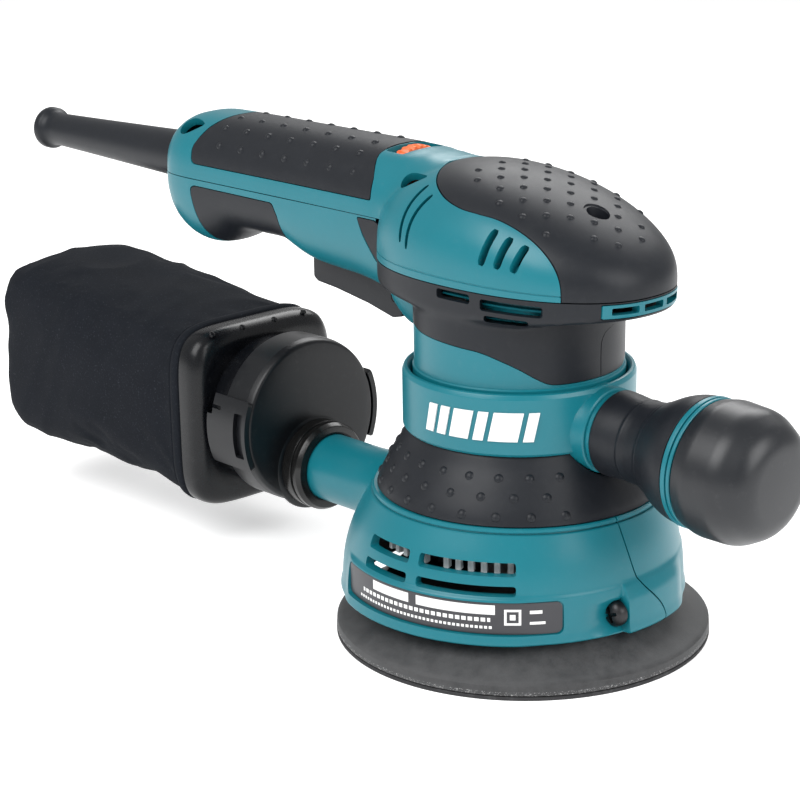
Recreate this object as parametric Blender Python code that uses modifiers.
"""A random-orbit sander with a rear handle, a front ball grip and a dust bag.

Every size below is in millimetres, and MM turns it into Blender's metres.
The origin is on the motor's axis at the sanding face. +Z is up, +X points to the
front grip, and the handle runs along -X.
"""

import math

import bmesh
import bpy

MM = 0.001
TURN_STEPS = 24
CLEARANCE = 0.3

# Pad, its orbit and the fan above it
FAN_BLADES = 9
PAD_RADIUS = 61.5
PAD_STEPS = 32
ORBIT = 1.4
DISC_TOP = 1.2
PAD_BOTTOM = DISC_TOP + CLEARANCE
DUST_HOLES = 8
DUST_HOLE_RADIUS = 5.0
DUST_HOLE_CIRCLE = 32.5

# Base shroud: a cone whose centre moves forward as it rises
BASE_BOTTOM = 14.6
BASE_TOP = 49.3
BASE_WALL = 2.6
BASE_LIP = 3.6
BASE_RINGS = ((BASE_BOTTOM, 56.5, -3.3), (27.0, 55.8, -3.0), (38.0, 52.8, -2.0), (BASE_TOP, 47.6, -0.5))
SPOUT_HEIGHT = 32.5
SPOUT_RADIUS = 12.0
SPOUT_BORE = 9.6
SPOUT_END = -99.0
VENT_ROWS = ((30.2, 33.2), (36.4, 40.4))
VENT_HALVES = ((-106, -84.8), (-80.6, -45.7))
CLAMP_SPOT = (50.5, 20.8)

# Motor housing and the ring around it
NECK_RADIUS = 33.75
NECK_STEPS = 28
NECK_CORE_RADIUS = 31.9
NECK_TOP = 112.0
BORE_RADIUS = 30.5
BAND_BOTTOM = 70.0
BAND_TOP = 90.0
BAND_RADIUS = 37.6
SKIRT_BOTTOM = 49.8

# The belt under the head: (height, share of the way out from the neck's circle to the head's outline)
BELT_RISE = ((111.0, 0.0), (114.5, 0.42), (117.5, 0.82))
BELT_VENTS = ((37, 66, 116.0, 119.6), (42, 63, 112.55, 114.9), (71, 93, 117.6, 120.2))

# Head dome: a superellipse in plan, pulled in towards the top
DOME_BOTTOM = 121.5
DOME_TOP = 154.3
DOME_FRONT = 56.0
DOME_REAR = 52.0
DOME_HALF_WIDTH = 34.5
DOME_POWER = 2.25
DOME_CENTRE = -6.0
DOME_LEVEL_END = -22.0
DOME_FALL = 0.0023
DOME_LEVELS = (0.0, 0.4, 0.64, 0.8, 0.91, 0.975)

# Handle
PARTING = 133.5
HANDLE_HALF_WIDTH = 20.0
HANDLE_WALL = 2.6
HANDLE_POWER = 2.6
HANDLE_STEPS = 10
SKIN = 1.8
GUARD_HEIGHT = 135.8
GUARD_TIP = -257.0
LEVER_HINGE = (-48.5, 104.5)
DIAL_SPOT = (-47, 140.5)
HEAD_SCREW = (33, 0)
HOUSING_SCREWS = ((-147, 11.5), (-147, -11.5), (-30.5, 17), (-30.5, -17))

# Front grip: its axis drops a little towards the front
GRIP_START = 35.0
GRIP_START_HEIGHT = 75.8
GRIP_DROP_DEGREES = 2.5

# Dust collection
NOZZLE_HEIGHT = 47.8
CAP_RADIUS = 29.9
BAG_END = -250.0

TEAL = ((0.02, 0.26, 0.31), 0.42, 0.0)
BLACK = ((0.03, 0.03, 0.035), 0.6, 0.0)
GLOSS = ((0.015, 0.015, 0.018), 0.25, 0.0)
GREY = ((0.16, 0.16, 0.165), 0.85, 0.0)
STEEL = ((0.55, 0.55, 0.56), 0.35, 1.0)
COPPER = ((0.72, 0.35, 0.2), 0.4, 1.0)
ORANGE = ((0.9, 0.25, 0.1), 0.5, 0.0)
CLOTH = ((0.02, 0.02, 0.023), 0.95, 0.0)

for old in list(bpy.data.objects):
    bpy.data.objects.remove(old)


def collection(name):
    made = bpy.data.collections.new(name)
    bpy.context.scene.collection.children.link(made)
    return made


PARTS = collection("orbital_sander")
CUTTERS = collection("cutters")


def material(name, finish):
    colour, roughness, metallic = finish
    made = bpy.data.materials.new(name)
    made.use_nodes = True
    shader = made.node_tree.nodes["Principled BSDF"]
    shader.inputs["Base Color"].default_value = (*colour, 1)
    shader.inputs["Roughness"].default_value = roughness
    shader.inputs["Metallic"].default_value = metallic
    return made


def place(name, mesh, finish=None):
    """A finish makes the mesh a sub-part, and no finish makes it a cutter."""
    obj = bpy.data.objects.new(name, mesh)
    if finish is None:
        CUTTERS.objects.link(obj)
        obj.hide_render = True
        obj.display_type = "WIRE"
        return obj
    PARTS.objects.link(obj)
    mesh.materials.append(material(name, finish))
    return obj


def mesh_from(name, bm, smooth=True):
    mesh = bpy.data.meshes.new(name)
    bmesh.ops.recalc_face_normals(bm, faces=bm.faces)
    bm.to_mesh(mesh)
    bm.free()
    if smooth:
        mesh.shade_smooth()
        mesh.set_sharp_from_angle(angle=math.radians(35))
    return mesh


def box(name, low, high, finish=None):
    bm = bmesh.new()
    bmesh.ops.create_cube(bm, size=1)
    for vert in bm.verts:
        for axis in range(3):
            vert.co[axis] = (low[axis] if vert.co[axis] < 0 else high[axis]) * MM
    return place(name, mesh_from(name, bm, smooth=False), finish)


def lay_along_x(obj, start, height, drop=0.0, y=0.0):
    """Turns a piece that was made along Z so that it runs along +X, dropping by some degrees."""
    obj.rotation_euler = (0, math.radians(90 + drop), 0)
    obj.location = (start * MM, y * MM, height * MM)
    return obj


def lay_along_y(obj, x, height):
    """Turns a piece that was made along Z so that it runs along +Y."""
    obj.rotation_euler = (math.radians(-90), 0, 0)
    obj.location = (x * MM, 0, height * MM)
    return obj


def turned(name, profile, finish=None, centre=(0, 0, 0), steps=TURN_STEPS, loop=False):
    """Turns (radius, z) points about Z. They run down the outer side. A loop closes on itself,
    and any other profile starts and ends on the axis."""
    mesh = bpy.data.meshes.new(name)
    count = len(profile)
    edges = [(i, (i + 1) % count) for i in range(count if loop else count - 1)]
    mesh.from_pydata([(r * MM, 0, z * MM) for r, z in profile], edges, [])
    obj = place(name, mesh, finish)
    screw = obj.modifiers.new("turn", "SCREW")
    screw.steps = screw.render_steps = steps
    screw.use_merge_vertices = True
    screw.merge_threshold = 0.00001
    screw.use_smooth_shade = False
    obj.location = [value * MM for value in centre]
    return obj


def cylinder(name, radius, low, high, finish=None, centre=(0, 0), steps=TURN_STEPS):
    profile = [(0, high), (radius, high), (radius, low), (0, low)]
    return turned(name, profile, finish, (*centre, 0), steps)


def tube(name, outer, inner, low, high, finish=None, centre=(0, 0), steps=TURN_STEPS):
    profile = [(outer, high), (outer, low), (inner, low), (inner, high)]
    return turned(name, profile, finish, (*centre, 0), steps, loop=True)


def loft(name, sections, finish=None, loop=False):
    """Joins sections of equal point counts with quads. A loop joins the last to the first."""
    bm = bmesh.new()
    rows = [[bm.verts.new([v * MM for v in point]) for point in section] for section in sections]
    pairs = list(zip(rows, rows[1:] + rows[:1])) if loop else list(zip(rows, rows[1:]))
    for one, other in pairs:
        for i in range(len(one)):
            j = (i + 1) % len(one)
            bm.faces.new((one[i], one[j], other[j], other[i]))
    if not loop:
        bm.faces.new(rows[0])
        bm.faces.new(rows[-1])
    return place(name, mesh_from(name, bm), finish)


def prism(name, outline, low, high, finish=None, axis="Z"):
    """A flat outline extruded along Z from (x, y) points, or along Y from (x, z) points."""
    sections = []
    for level in (low, high):
        if axis == "Z":
            sections.append([(a, b, level) for a, b in outline])
        else:
            sections.append([(a, level, b) for a, b in outline])
    return loft(name, sections, finish)


def boolean(obj, other, operation, solver="EXACT"):
    step = obj.modifiers.new(other.name, "BOOLEAN")
    step.operation = operation
    step.object = other
    step.solver = solver
    return obj


def cut(obj, *others, solver="EXACT"):
    """The MANIFOLD solver is for the few cuts where EXACT leaves open edges."""
    for other in others:
        boolean(obj, other, "DIFFERENCE", solver)
    return obj


def add(obj, *others):
    for other in others:
        boolean(obj, other, "UNION")
    return obj


def keep(obj, *others):
    for other in others:
        boolean(obj, other, "INTERSECT")
    return obj


def ring_points(radius, z, centre=0.0, count=TURN_STEPS):
    """radius and z may be functions of the angle."""
    points = []
    for i in range(count):
        angle = 2 * math.pi * i / count
        r = radius(angle) if callable(radius) else radius
        height = z(angle) if callable(z) else z
        points.append((centre + r * math.cos(angle), r * math.sin(angle), height))
    return points


def sector(name, inner, outer, angles, heights, finish=None, centre=0.0, steps=10):
    """A curved block between two radii, a start and end angle in degrees and two heights."""
    sections = []
    for i in range(steps + 1):
        angle = math.radians(angles[0] + (angles[1] - angles[0]) * i / steps)
        corners = ((inner, heights[0]), (outer, heights[0]), (outer, heights[1]), (inner, heights[1]))
        sections.append([(centre + r * math.cos(angle), r * math.sin(angle), z) for r, z in corners])
    return loft(name, sections, finish)


def grip_axis_height(x):
    return GRIP_START_HEIGHT - math.tan(math.radians(GRIP_DROP_DEGREES)) * (x - GRIP_START)


# Pad

def build_pad():
    disc = cylinder("sanding_disc", PAD_RADIUS, 0, DISC_TOP, GREY, (ORBIT, 0), PAD_STEPS)
    cushion = [(18, 20), (41, 20), (48, 13.8), (53, 9.6), (61.2, 5.4), (PAD_RADIUS, 4.4), (61.2, PAD_BOTTOM)]
    cushion += [(9, PAD_BOTTOM), (9, 5.2), (3.5, 5.2), (3.5, 14), (18, 14)]
    pad = turned("backing_pad", cushion, GREY, (ORBIT, 0, 0), PAD_STEPS, loop=True)
    for i in range(DUST_HOLES):
        angle = 2 * math.pi * (i + 0.5) / DUST_HOLES
        spot = (ORBIT + DUST_HOLE_CIRCLE * math.cos(angle), DUST_HOLE_CIRCLE * math.sin(angle))
        hole = cylinder(f"dust_hole_{i}", DUST_HOLE_RADIUS, -5, 30, centre=spot, steps=8)
        cut(disc, hole)
        cut(pad, hole)
    hub = [(5.9, 33), (5.9, 23), (17, 23), (17, 20.4), (12, 20.4), (12, 14.4), (3.5, 14.4), (3.5, 33)]
    turned("pad_hub", hub, STEEL, (ORBIT, 0, 0), 24, loop=True)
    screw = [(0, 30), (3.1, 30), (3.1, 4.9), (8, 4.9), (8, 2.2), (3, 2.2), (3, 3.6), (0, 3.6)]
    turned("pad_screw", screw, STEEL, (ORBIT, 0, 0), 16)


# Rotor

def build_rotor():
    weight = cylinder("counterweight", 17.6, 23.6, 36.2, STEEL)
    segment = sector("weight_segment", 15, 29, (110, 250), (26, 36.2), steps=8)
    add(weight, segment)
    cut(weight, cylinder("bearing_pocket", 13.4, 20, 33.3, centre=(ORBIT, 0)))
    cut(weight, cylinder("weight_bore", 5.3, 30, 40, steps=16))
    tube("pad_bearing", 13.1, 6.2, 24, 33, STEEL, (ORBIT, 0), 24)

    fan = tube("fan", 41, 7, 40.6, 42.2, TEAL, steps=20)
    add(fan, tube("fan_hub", 9, 5.3, 36.8, 46, steps=14))
    for i in range(FAN_BLADES):
        blade = box(f"blade_{i}", (8, -0.8, 37), (40.6, 0.8, 46))
        blade.rotation_euler = (0, 0, 2 * math.pi * i / FAN_BLADES)
        add(fan, blade)

    shaft = [(0, 134), (4, 134), (4, 105.5), (5, 105.5), (5, 33.7), (0, 33.7)]
    turned("motor_shaft", shaft, STEEL, steps=20)
    tube("armature_core", 21.8, 5.3, 66, 98, STEEL, steps=22)
    tube("lower_windings", 19.5, 5.4, 58.5, 65.7, COPPER, steps=22)
    tube("upper_windings", 19.5, 5.4, 98.3, 105, COPPER, steps=22)
    tube("commutator", 12, 4.3, 107, 119, COPPER, steps=20)


# Motor pieces that stay still

def build_stator():
    tube("stator_core", 30.2, 22.6, 66, 98, STEEL)
    tube("lower_field_coil", 29.6, 23, 58.5, 65.7, COPPER)
    tube("upper_field_coil", 29.6, 23, 98.3, 105, COPPER)
    tube("lower_bearing", 14.0, 5.3, 50.6, 56.6, STEEL, steps=24)
    tube("upper_bearing", 11, 4.3, 126, 132.6, STEEL, steps=22)
    bracket = [(13.8, 133), (13.8, 125), (29, 125), (29, 122.5), (6, 122.5), (6, 125.7)]
    bracket += [(11.3, 125.7), (11.3, 133)]
    turned("bearing_bracket", bracket, BLACK, loop=True, steps=24)

    for side, side_name in ((1, "left"), (-1, "right")):
        low, high = sorted((side * 13, side * 29.5))
        holder = box(f"brush_holder_{side_name}", (-5.5, low, 108.5), (5.5, high, 118.5), STEEL)
        low, high = sorted((side * 5, side * 27.5))
        cut(holder, box(f"brush_way_{side_name}", (-3.8, low, 110.2), (3.8, high, 116.8)))
        low, high = sorted((side * 12.4, side * 22))
        box(f"carbon_brush_{side_name}", (-3.4, low, 110.6), (3.4, high, 116.4), BLACK)


# Base shroud

def base_ring(level, inset):
    z, radius, centre = level
    return ring_points(radius - inset, z, centre, 32)


def build_base():
    outer = [base_ring(level, 0) for level in BASE_RINGS]
    lip = [base_ring(BASE_RINGS[-1], BASE_LIP), base_ring((BASE_TOP - 2.4, 48.7, -0.8), BASE_LIP)]
    inner = lip + [base_ring(level, BASE_WALL) for level in reversed(BASE_RINGS[:-1])]
    base = loft("base_housing", outer + inner, TEAL, loop=True)
    pipe = cylinder("spout", SPOUT_RADIUS, 0, 55, steps=28)
    add(base, lay_along_x(pipe, SPOUT_END, SPOUT_HEIGHT))
    flare = turned("spout_root", [(0, 18), (15.5, 18), (12.4, 1), (0, 1)], steps=28)
    add(base, lay_along_x(flare, -66, SPOUT_HEIGHT))
    bore = cylinder("spout_bore", SPOUT_BORE, -2, 58, steps=22)
    cut(base, lay_along_x(bore, SPOUT_END, SPOUT_HEIGHT), solver="MANIFOLD")
    space = ((5.0, 56.5, -3.3), *BASE_RINGS[:3], (44.0, 49.4, -1.3))
    inside = [base_ring(level, BASE_WALL + 0.4) for level in space]
    cut(base, loft("shroud_inside", inside), solver="MANIFOLD")
    for row, heights in enumerate(VENT_ROWS):
        for turn, angles in enumerate(VENT_HALVES):
            cut(base, sector(f"vent_{row}_{turn}", 42, 62, angles, heights, centre=-2, steps=6))

    cut(base, sector("label_recess", 55.0, 62, (-115.6, -29.5), (17.7, 28.8), centre=-3.2, steps=9))
    sector("rating_label", 55.3, 55.8, (-115, -30.1), (18.2, 28.3), GREY, centre=-3.2, steps=9)

    add(base, box("clamp_boss", (47.8, -8.5, 16), (55.5, 8, 27.5)))
    cut(base, box("clamp_slit", (40, -0.4, 10), (60, 0.4, 60)))
    cut(base, lay_along_y(cylinder("clamp_bore", 2.1, -15, 7, steps=12), *CLAMP_SPOT))
    screw = [(0, 6), (1.8, 6), (1.8, -8.8), (4.2, -8.8), (4.2, -11.6), (3.2, -12.4), (0, -12.4)]
    lay_along_y(turned("base_clamp_screw", screw, BLACK, steps=16), *CLAMP_SPOT)
    cut(base, lay_along_y(cylinder("clamp_pocket", 4.6, -22, -8.5, steps=16), *CLAMP_SPOT))


# Neck

def neck_edge(angle):
    """Height of the line where the rubber of the neck ends: low at the front, higher to the rear."""
    turn = abs(math.degrees(math.atan2(math.sin(angle), math.cos(angle))))
    if turn < 30:
        return 91.7
    if turn < 62:
        return 91.7 + (turn - 30) * 0.3
    return 101.3 + 2.6 * math.sin(math.radians(min(turn - 62, 90)))


def superellipse(angle, inset=0.0):
    """The head's outline in plan, as a radius about the origin."""
    reach = (DOME_FRONT if math.cos(angle) > 0 else DOME_REAR) - inset
    side = DOME_HALF_WIDTH - inset
    total = abs(math.cos(angle) / reach) ** DOME_POWER + abs(math.sin(angle) / side) ** DOME_POWER
    return total ** (-1 / DOME_POWER)


def belt_ring(z, part, inset):
    """Between the neck's circle (part 0) and the head's outline (part 1)."""
    def radius(angle):
        return (NECK_RADIUS - inset) * (1 - part) + superellipse(angle, inset) * part
    return ring_points(radius, z, count=NECK_STEPS)


def build_neck():
    wall = [(NECK_RADIUS, NECK_TOP), (NECK_RADIUS, 90.6), (34.2, 90.2), (34.2, 57), (43, 51.2), (43, 47.4)]
    wall += [(14.4, 47.4), (14.4, 57), (17.5, 57), (17.5, 50.2), (BORE_RADIUS, 50.2), (BORE_RADIUS, NECK_TOP)]
    housing = turned("motor_housing", wall, TEAL, steps=NECK_STEPS, loop=True)
    above_edge = [ring_points(r, z, count=NECK_STEPS) for r, z in (
        (NECK_CORE_RADIUS, lambda a: neck_edge(a) - CLEARANCE), (40, lambda a: neck_edge(a) - CLEARANCE),
        (40, NECK_TOP + 3), (NECK_CORE_RADIUS, NECK_TOP + 3))]
    cut(housing, loft("neck_step", above_edge, loop=True))
    for i in range(6):
        angle = math.radians(60 * i + 30)
        spot = (23.5 * math.cos(angle), 23.5 * math.sin(angle))
        cut(housing, cylinder(f"air_hole_{i}", 4, 45, 52, centre=spot, steps=10))

    top = DOME_BOTTOM - CLEARANCE
    cover = [ring_points(NECK_RADIUS + 0.1, neck_edge, count=NECK_STEPS)]
    cover += [belt_ring(z, part, 0) for z, part in (*BELT_RISE, (top, 1.0))]
    cover += [belt_ring(z, part, 2.4) for z, part in ((top, 1.0), (117, 0.8), (113, 0.3))]
    cover.append(ring_points(NECK_CORE_RADIUS + CLEARANCE, NECK_TOP - 0.8, count=NECK_STEPS))
    cover.append(ring_points(NECK_CORE_RADIUS + CLEARANCE, neck_edge, count=NECK_STEPS))
    cover = loft("neck_cover", cover, BLACK, loop=True)
    for side in (1, -1):
        for row, (start, end, low, high) in enumerate(BELT_VENTS):
            angles = (side * start, side * end)
            cut(cover, sector(f"belt_vent_{side}_{row}", 20, 60, angles, (low, high), steps=4))
    cut(cover, box("insert_window", (40, -17.3, 116.3), (62, 17.3, 120.9)), solver="MANIFOLD")

    insert = box("front_vent_insert", (40, -17, 116.6), (60, 17, 120.6), TEAL)
    outside = ((112, 0.12), *BELT_RISE[1:], (top + 0.05, 1.0))
    keep(insert, loft("insert_outside", [belt_ring(z, part, 0) for z, part in outside]))
    inside = ((109.3, 0.08), (113.4, 0.4), (117.3, 0.8), (125.5, 1.1))
    cut(insert, loft("insert_inside", [belt_ring(z, part, 2.6) for z, part in inside]), solver="MANIFOLD")
    for low, high in ((-14.5, -2), (2, 14.5)):
        cut(insert, box(f"insert_slot_{low}", (40, low, 117.6), (62, high, 119.7)))


def build_skirt():
    cone = [(36.2, 69.6), (40.6, 62), (44.3, 55), (46.3, 50.6), (46.3, SKIRT_BOTTOM)]
    cone += [(44.4, SKIRT_BOTTOM), (42.2, 55.4), (38.4, 61.5), (34.7, 68)]
    skirt = turned("skirt_cover", cone, BLACK, steps=30, loop=True)
    notch = cylinder("collar_notch", 14.2, -12, 20, steps=24)
    cut(skirt, lay_along_x(notch, 40, grip_axis_height(40), GRIP_DROP_DEGREES))


def build_band():
    ring = [(36.6, BAND_TOP), (BAND_RADIUS, BAND_TOP - 1.2), (BAND_RADIUS, BAND_BOTTOM), (33, BAND_BOTTOM)]
    band = turned("grip_band", ring + [(33, BAND_TOP)], TEAL, steps=30, loop=True)
    boss = cylinder("collar", 13.7, 0, 10.5, steps=24)
    add(band, lay_along_x(boss, 31, grip_axis_height(31), GRIP_DROP_DEGREES))
    cut(band, cylinder("band_bore", 34.9, 50, 100, steps=28))
    bore = cylinder("collar_bore", 4.3, 0, 20, steps=16)
    cut(band, lay_along_x(bore, 31, grip_axis_height(31), GRIP_DROP_DEGREES))


# Front grip

def along_grip(name, profile, finish, steps=32, loop=False):
    """Turns (radius, x) points about the grip's axis, x being the distance from its start."""
    obj = turned(name, profile, finish, steps=steps, loop=loop)
    return lay_along_x(obj, GRIP_START, GRIP_START_HEIGHT, GRIP_DROP_DEGREES)


def build_grip():
    core = [(20.4, 44.6), (20.4, 41.5), (9, 41.5), (9, 7.2), (4.4, 7.2), (4.4, 44.6)]
    along_grip("grip_core", core, TEAL, loop=True)
    sleeve = [(20.2, 41.2), (19.6, 38), (16.6, 30), (13.6, 21), (13.4, 16), (13.7, 7), (9.3, 7), (9.3, 41.2)]
    along_grip("grip_sleeve", sleeve, BLACK, loop=True)
    ball = 49.2
    cap = [(0, ball + 21.1)]
    for degrees in (75, 60, 45, 30, 15, 0):
        angle = math.radians(degrees)
        cap.append((21.1 * math.cos(angle), ball + 21.1 * math.sin(angle)))
    cap += [(20.6, 44.9), (0, 44.9)]
    along_grip("grip_cap", cap, BLACK)
    bolt = [(0, 30), (4, 30), (4, 1.6), (0, 1.6)]
    along_grip("grip_bolt", bolt, STEEL, steps=14)


# Head and handle

def dome_top(x):
    return DOME_TOP - DOME_FALL * max(x - DOME_LEVEL_END, 0) ** 2


def dome(name, inset, finish=None, bottom=DOME_BOTTOM):
    """The head's solid. A cutter may start lower than the head does."""
    count = NECK_STEPS
    sections = []
    if bottom < DOME_BOTTOM:
        sections.append(ring_points(lambda a: superellipse(a, inset), bottom, count=count))
    for level in DOME_LEVELS:
        pull = (1 - level**3) ** (1 / 2.2)
        section = []
        for x, y, _ in ring_points(lambda a: superellipse(a, inset), 0, count=count):
            px = DOME_CENTRE + pull * (x - DOME_CENTRE)
            section.append((px, y * pull, DOME_BOTTOM + level * (dome_top(px) - inset - DOME_BOTTOM)))
        sections.append(section)
    return loft(name, sections, finish)


UPPER = ((-163.6, 9, 142), (-162, 14, 146.5), (-158, 17.5, 151), (-152, 19.3, 154), (-145, 20, 155))
UPPER += ((-95, 20, 155), (-45, 20.5, 154.6), (-24, 21, 153))
LOWER = ((-163.6, 9, 127), (-162, 14, 120.5), (-158, 17.5, 113.5), (-152, 19.3, 109.5), (-145, 20, 108))
LOWER += ((-138, 20, 108.8), (-132, 20, 112), (-126, 20, 114.8), (-112, 20, 115.4), (-99, 20, 115))
LOWER += ((-92, 20, 112), (-86, 20, 110), (-75, 20, 109), (-62, 20, 108), (-52, 20, 106))
LOWER += ((-44.5, 20, 103), (-41.8, 20, 97), (-38, 20, 94.6), (-24, 20, 94.6))


def handle_sections(stations, inset, beyond):
    """One half of the handle as half superellipses along X. beyond carries it past the parting."""
    sections = []
    sign = 1 if stations is UPPER else -1
    flat = PARTING + sign * CLEARANCE / 2
    for x, half, height in stations:
        x = max(x, stations[0][0] + inset)
        side = half - inset
        depth = abs(height - flat) - inset
        section = []
        for i in range(HANDLE_STEPS + 1):
            angle = math.pi * i / HANDLE_STEPS
            y = side * math.copysign(abs(math.cos(angle)) ** (2 / HANDLE_POWER), math.cos(angle))
            section.append((x, y, flat + sign * depth * math.sin(angle) ** (2 / HANDLE_POWER)))
        if beyond:
            section[:0] = [(x, side, flat - sign * beyond)]
            section.append((x, -side, flat - sign * beyond))
        sections.append(section)
    return sections


def spaced(sections):
    """Drops sections that an inset has pushed onto the one before them."""
    kept = [sections[0]]
    for section in sections[1:]:
        if section[0][0] > kept[-1][0][0] + 0.1:
            kept.append(section)
    return kept


def half(name, stations, inset, finish=None, beyond=0.0):
    return loft(name, spaced(handle_sections(stations, inset, beyond)), finish)


HEAD_PATCH = ((-25, 0), (-24, -7), (-20.5, -14.5), (-15, -21), (-7.5, -25.4), (1, -27.2), (9, -26.9))
HEAD_PATCH += ((17, -25.8), (29, -25), (64, -25))
TOP_PAD = ((-140, 139.2), (-47.5, 139.2), (-47, 165), (-128, 165), (-136, 152), (-141, 145))
LOWER_PAD = ((-141, 130.8), (-97.5, 130.8), (-95.4, 128.5), (-94.5, 118), (-91, 100), (-136, 100))
LOWER_PAD += ((-140, 118), (-143, 128))
TRIM = ((-56.6, 132.1), (-40.2, 132.1), (-36.2, 118.8), (-46.4, 118.8), (-51.6, 125.3))


def grown(outline, by):
    """Moves each point of an outline away from the outline's middle by about the given distance."""
    cx = sum(x for x, _ in outline) / len(outline)
    cy = sum(y for _, y in outline) / len(outline)
    moved = []
    for x, y in outline:
        moved.append((x + math.copysign(by, x - cx), y + math.copysign(by, y - cy)))
    return moved


def mirrored(outline):
    return list(outline) + [(x, -y) for x, y in reversed(outline) if y != 0]


def build_upper_housing():
    upper = dome("upper_housing", 0, TEAL)
    add(upper, half("upper_handle", UPPER, 0))
    cut(upper, dome("dome_inside", 3, bottom=118))
    cut(upper, half("upper_handle_inside", UPPER, HANDLE_WALL, beyond=4))
    cut(upper, box("rear_passage", (-56, -15.5, 118), (-40, 15.5, 137)))

    patch = prism("head_patch_space", grown(mirrored(HEAD_PATCH), CLEARANCE), 110, 170)
    cut(upper, cut(patch, dome("under_head_patch", SKIN + CLEARANCE, bottom=110)))
    cover = prism("head_rubber_cover", mirrored(HEAD_PATCH), DOME_BOTTOM + 0.1, 170, BLACK)
    keep(cover, dome("head_outside", 0))
    cut(cover, dome("head_patch_inside", SKIN, bottom=110))

    pad_space = prism("top_pad_space", grown(TOP_PAD, CLEARANCE), -30, 30, axis="Y")
    cut(upper, cut(pad_space, half("under_top_pad", UPPER, SKIN + CLEARANCE, beyond=8)))
    pad = prism("handle_top_pad", TOP_PAD, -30, 30, BLACK, axis="Y")
    keep(pad, half("handle_outside", UPPER, 0, beyond=8))
    cut(pad, half("top_pad_inside", UPPER, SKIN, beyond=8))

    cut(upper, lay_along_x(cylinder("guard_hole_upper", 9.1, -10, 12, steps=24), -166, GUARD_HEIGHT))
    cut(upper, box("dial_slot", (-50, -9.5, 142), (-44, 9.5, 160)))
    cut(upper, cylinder("head_screw_well", 3.6, 128, 160, centre=HEAD_SCREW, steps=16))
    cut(cover, cylinder("head_cover_well", 3.9, 110, 160, centre=HEAD_SCREW, steps=16))
    cylinder("head_screw", 3.1, 131.5, 134.5, BLACK, HEAD_SCREW, 12)
    for i, spot in enumerate(HOUSING_SCREWS):
        cut(upper, cylinder(f"screw_well_{i}", 3.4, 140, 160, centre=spot, steps=8))
    for side in (1, -1):
        for i, x in enumerate((17.1, 22.7, 28.3)):
            slot = box(f"side_vent_{side}_{i}", (x, side * 33 - 8, 130.6), (x + 2.6, side * 33 + 8, 140.6))
            cut(upper, slot, solver="MANIFOLD")
        for i, x in enumerate((-21.5, -17.5)):
            slot = box(f"rear_vent_{side}_{i}", (x, side * 30 - 9, 131), (x + 1.8, side * 30 + 9, 146))
            cut(upper, slot, solver="MANIFOLD")


def belt_space(name):
    """The room that the belt and the head above it need, with the clearance."""
    rise = ((105.0, 0.0), *BELT_RISE, (121.2, 1.0), (135.0, 1.0))
    return loft(name, [belt_ring(z, part, -CLEARANCE) for z, part in rise])


def build_lower_handle():
    lower = half("lower_handle", LOWER, 0, TEAL)
    cut(lower, half("lower_handle_inside", LOWER, HANDLE_WALL, beyond=4))
    cut(lower, cylinder("neck_space", NECK_RADIUS + 0.5, 80, 113, steps=32))
    cut(lower, belt_space("belt_space"))
    cut(lower, lay_along_x(cylinder("guard_hole_lower", 9.1, -10, 12, steps=24), -166, GUARD_HEIGHT))
    cut(lower, box("lever_slot", (-91, -9.4, 90), (-42.8, 9.4, 126)))

    pad_space = prism("lower_pad_space", grown(LOWER_PAD, CLEARANCE), -30, 30, axis="Y")
    cut(lower, cut(pad_space, half("under_lower_pad", LOWER, SKIN + CLEARANCE, beyond=4)))
    pad = prism("handle_lower_pad", LOWER_PAD, -30, 30, BLACK, axis="Y")
    keep(pad, half("lower_outside", LOWER, 0, beyond=4))
    cut(pad, half("lower_pad_inside", LOWER, SKIN, beyond=4))

    trim_space = prism("trim_space", grown(TRIM, CLEARANCE), -30, 30, axis="Y")
    cut(lower, cut(trim_space, half("under_trims", LOWER, SKIN + CLEARANCE, beyond=4)), solver="MANIFOLD")
    outside = half("trims_outside", LOWER, 0, beyond=4)
    inside = half("trims_inside", LOWER, SKIN, beyond=4)
    head_space = belt_space("trim_head_space")
    for name, low, high in (("side_trim_left", 15, 30), ("side_trim_right", -30, -15)):
        cut(keep(prism(name, TRIM, low, high, BLACK, axis="Y"), outside), inside, head_space)


def build_handle_pieces():
    guard = [(10, 100.5), (10, 99), (8.8, 99), (8.8, 90), (7.2, 40), (6.3, 7), (6.4, 5), (8, 4), (8, 0)]
    guard += [(3.6, 0), (3.6, 100.5)]
    guard = turned("cord_guard", guard, BLACK, loop=True, steps=20)
    lay_along_x(guard, GUARD_TIP, GUARD_HEIGHT)
    box("cord_clamp", (-152, -11, 126.5), (-145, 11, 130.5), BLACK)
    box("switch_body", (-101, -8, 119.5), (-71, 8, 132.5), BLACK)
    box("speed_controller", (-69.5, -12, 126), (-55, 12, 147), BLACK)
    lay_along_y(cylinder("lever_pin", 1.7, -12, 12, STEEL, steps=12), *LEVER_HINGE)

    lever = ((-89.6, 115), (-89.6, 105), (-88.2, 103.6), (-78, 102.6), (-62, 100), (-50, 97.2), (-45.6, 98.2))
    lever += ((-44, 103.5), (-46.5, 107.5), (-60, 110.5), (-74, 113.5))
    lever = prism("switch_lever", lever, -8.8, 8.8, BLACK, axis="Y")
    cut(lever, lay_along_y(cylinder("lever_bore", 2.0, -15, 15, steps=12), *LEVER_HINGE))

    wheel = [(0, 2.2), (11.3, 2.2), (11.3, -2.2), (3, -2.2), (3, -5.4), (0, -5.4)]
    lay_along_x(turned("speed_dial", wheel, ORANGE, steps=30), *DIAL_SPOT)

    for i, spot in enumerate(HOUSING_SCREWS):
        cylinder(f"housing_screw_{i + 1}", 2.8, 141, 144.5, BLACK, spot, 10)


# Dust collection

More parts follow.
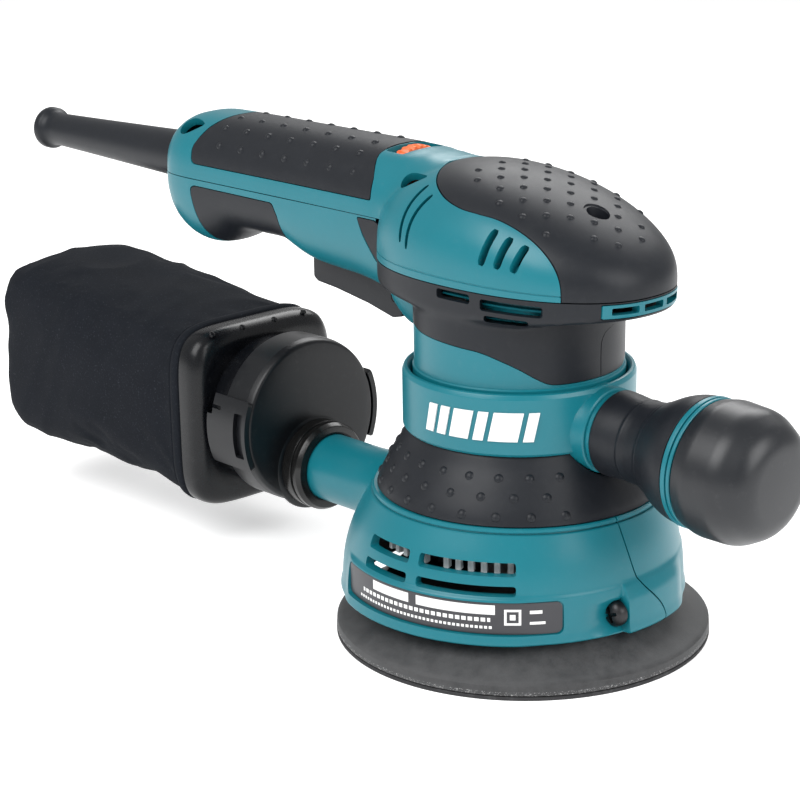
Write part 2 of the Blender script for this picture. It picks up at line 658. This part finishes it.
def rounded_square(x, half_width, half_height, centre, power, count=24):
    points = []
    for i in range(count):
        angle = 2 * math.pi * i / count
        y = half_width * math.copysign(abs(math.cos(angle)) ** (2 / power), math.cos(angle))
        z = half_height * math.copysign(abs(math.sin(angle)) ** (2 / power), math.sin(angle))
        points.append((x, y, centre + z))
    return points


def build_dust_collection():
    sleeve = tube("nozzle_sleeve", 16, SPOUT_RADIUS + CLEARANCE, 0, 9.5, BLACK, steps=28)
    lay_along_x(sleeve, -101.6, SPOUT_HEIGHT)

    dish = [(0, 14.6), (29.0, 14.6), (CAP_RADIUS, 13.6), (CAP_RADIUS, 0), (27.4, 0), (27.4, 12), (0, 12)]
    nozzle = turned("dust_nozzle", dish, GLOSS, steps=28)
    lay_along_x(nozzle, -116.6, NOZZLE_HEIGHT)
    for side in (1, -1):
        add(nozzle, box(f"clip_tab_{side}", (-123.5, side * 29.2 - 1.6, 39.5), (-103, side * 29.2 + 1.6, 56)))
        cut(nozzle, box(f"clip_window_{side}", (-111, side * 29.2 - 8, 42), (-107, side * 29.2 + 8, 53)))
    cut(nozzle, lay_along_x(cylinder("nozzle_bore", SPOUT_BORE, -10, 10, steps=24), -103, SPOUT_HEIGHT))

    frame = [rounded_square(x, w, h, 47.0, 5) for x, w, h in (
        (-137.4, 31.8, 32.2), (-136, 33, 33.4), (-129, 33, 33.4), (-127.2, 31.6, 32), (-126, 28.6, 29))]
    frame = loft("bag_frame", frame, GLOSS)
    add(frame, lay_along_x(cylinder("frame_neck", 27, 0, 14, steps=24), -128, NOZZLE_HEIGHT))
    cut(frame, lay_along_x(cylinder("frame_mouth", 23, -20, 30, steps=24), -128, NOZZLE_HEIGHT))

    bag = [rounded_square(x, w, h, z, 4.5) for x, w, h, z in (
        (BAG_END, 30, 29, 54.5), (-247, 33.5, 33, 54), (-240, 34.6, 34.4, 53), (-215, 33.6, 33.6, 51.5),
        (-180, 33, 33.2, 50), (-150, 33, 33, 48), (-139.6, 33, 33.4, 47.2), (-137.8, 32, 32.4, 47))]
    loft("dust_bag", bag, CLOTH)


build_pad()
build_rotor()
build_stator()
build_base()
build_neck()
build_skirt()
build_band()
build_grip()
build_upper_housing()
build_lower_handle()
build_handle_pieces()
build_dust_collection()
